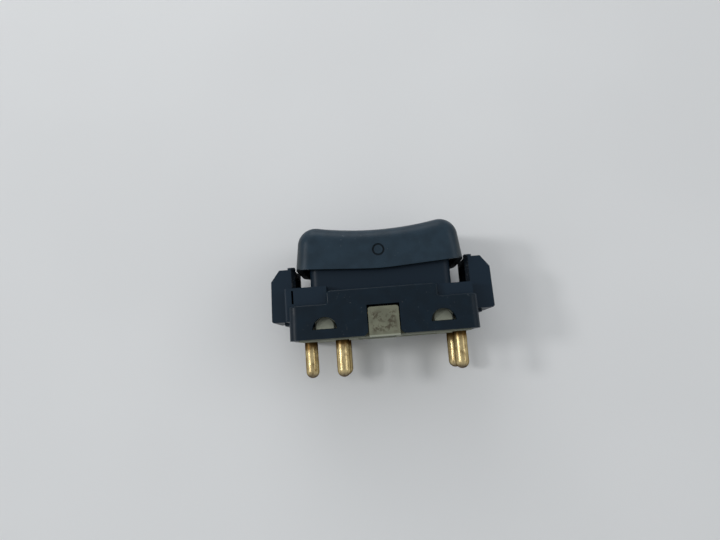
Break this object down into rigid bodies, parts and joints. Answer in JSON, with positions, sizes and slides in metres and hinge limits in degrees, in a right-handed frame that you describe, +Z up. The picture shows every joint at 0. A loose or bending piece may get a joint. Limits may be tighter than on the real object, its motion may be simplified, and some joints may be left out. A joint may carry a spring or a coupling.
{
  "type": "car light switch",
  "caption": "Panel rocker switch for a car's lights: saddle-shaped rocker on a stepped housing with snap wings, round brass plug pins below.",
  "frame": {"origin": "on the plane of the pin tips, under the middle of the switch", "axes": "+X along the rocker, from the common pin's end to the other, +Y across it, +Z up from the pins to the rocker"},
  "size_m": [0.046, 0.0206, 0.031],
  "materials": {
    "housing_plastic": "fine-grained moulded dark grey plastic",
    "rocker_plastic": "satin dark grey plastic, lightly worn",
    "carrier_plastic": "moulded black plastic",
    "base_plastic": "moulded light grey plastic",
    "plunger_plastic": "white low-friction plastic",
    "spring_steel": "drawn spring wire",
    "pin_brass": "turned brass, tarnished brown near the base",
    "strip_brass": "stamped brass sheet",
    "contact_metal": "silver contacts"
  },
  "bodies": {
    "switch_body": {"housing": "housing_plastic", "terminal_base": "base_plastic", "common_strip": "strip_brass", "fixed_contacts": "contact_metal", "fixed_strip_left_front": "strip_brass", "fixed_strip_left_rear": "strip_brass", "fixed_strip_right_front": "strip_brass", "fixed_strip_right_rear": "strip_brass", "terminal_pin_1": "pin_brass", "terminal_pin_2": "pin_brass", "terminal_pin_3": "pin_brass", "terminal_pin_4": "pin_brass", "terminal_pin_5": "pin_brass"},
    "rocker": {"rocker_cap": "rocker_plastic", "rocker_carrier": "carrier_plastic", "plunger_spring_front": "spring_steel", "plunger_spring_rear": "spring_steel"},
    "front_plunger": {"plunger_front": "plunger_plastic"},
    "rear_plunger": {"plunger_rear": "plunger_plastic"},
    "front_blade": {"contact_blade_front": "strip_brass", "moving_contacts_front": "contact_metal"},
    "rear_blade": {"contact_blade_rear": "strip_brass", "moving_contacts_rear": "contact_metal"}
  },
  "joints": [
    {"name": "rocker_tilt", "type": "hinge", "parent": "switch_body", "child": "rocker", "pos_m": [0, 0, 0.0241], "axis": [0, 1, 0], "range_deg": [-7, 7]},
    {"name": "front_blade_rock", "type": "hinge", "parent": "switch_body", "child": "front_blade", "pos_m": [0, -0.0026, 0.0124], "axis": [0, 1, 0], "range_deg": [-4.2, 4.2]},
    {"name": "rear_blade_rock", "type": "hinge", "parent": "switch_body", "child": "rear_blade", "pos_m": [0, 0.0026, 0.0124], "axis": [0, 1, 0], "range_deg": [-4.2, 4.2]},
    {"name": "front_plunger_slide", "type": "slide", "parent": "rocker", "child": "front_plunger", "axis": [0, 0, 1], "range_m": [0, 0.0008], "stiffness_N_per_m": 400, "springref_m": -0.0015, "deforming": ["plunger_spring_front"]},
    {"name": "rear_plunger_slide", "type": "slide", "parent": "rocker", "child": "rear_plunger", "axis": [0, 0, 1], "range_m": [0, 0.0008], "stiffness_N_per_m": 400, "springref_m": -0.0015, "deforming": ["plunger_spring_rear"]}
  ],
  "couplings": [
    {"joint": "front_blade_rock", "follows": "rocker_tilt", "ratio": -0.6},
    {"joint": "rear_blade_rock", "follows": "rocker_tilt", "ratio": -0.6}
  ]
}
